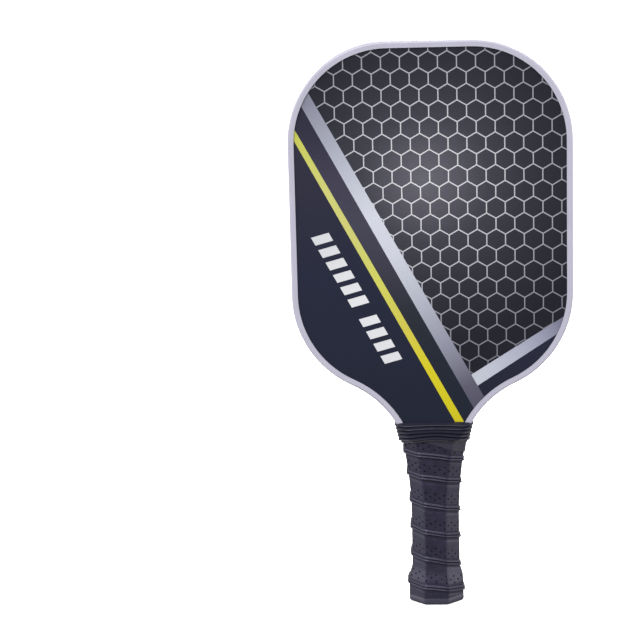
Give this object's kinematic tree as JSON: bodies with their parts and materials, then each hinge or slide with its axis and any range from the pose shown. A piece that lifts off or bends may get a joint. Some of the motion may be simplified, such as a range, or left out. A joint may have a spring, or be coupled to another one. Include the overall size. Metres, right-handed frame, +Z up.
{
  "type": "pickleball paddle",
  "caption": "Flat honeycomb-core racket with a rounded rectangular head, printed faces, a pale edge guard, a ribbed neck collar and an octagonal wrapped handle.",
  "frame": {"origin": "centre of the butt's lowest face, where the paddle stands upright", "axes": "+Z up along the handle to the crown of the head, +X across the head, -Y out of the front hitting face"},
  "size_m": [0.198, 0.0356, 0.403],
  "materials": {
    "core_polymer": "translucent extruded polypropylene",
    "core_fleece": "thin non-woven polyester fleece",
    "face_laminate": "woven glass-fibre laminate, satin",
    "printed_film": "satin printed film, charcoal with silver lines and a yellow stripe",
    "bond_tape": "double-sided acrylic foam tape",
    "guard_rubber": "pale lavender-white, satin",
    "handle_foam": "machined rigid foam",
    "cap_plastic": "black moulded plastic, fine grain",
    "staple_steel": "bright wire",
    "grip_cushion": "black cushioned grip, soft matt skin",
    "finishing_vinyl": "black vinyl tape, slight sheen",
    "collar_rubber": "black rubber, slight sheen"
  },
  "bodies": {
    "root": {"honeycomb_core": "core_polymer", "front_core_scrim": "core_fleece", "back_core_scrim": "core_fleece", "front_face_sheet": "face_laminate", "back_face_sheet": "face_laminate", "front_graphic_film": "printed_film", "back_graphic_film": "printed_film", "guard_bond_tape": "bond_tape", "edge_guard": "guard_rubber", "front_handle_pallet": "handle_foam", "back_handle_pallet": "handle_foam", "butt_cap": "cap_plastic", "butt_cap_staples": "staple_steel", "grip_tape": "grip_cushion", "finishing_tape": "finishing_vinyl", "rubber_collar": "collar_rubber"}
  },
  "joints": []
}
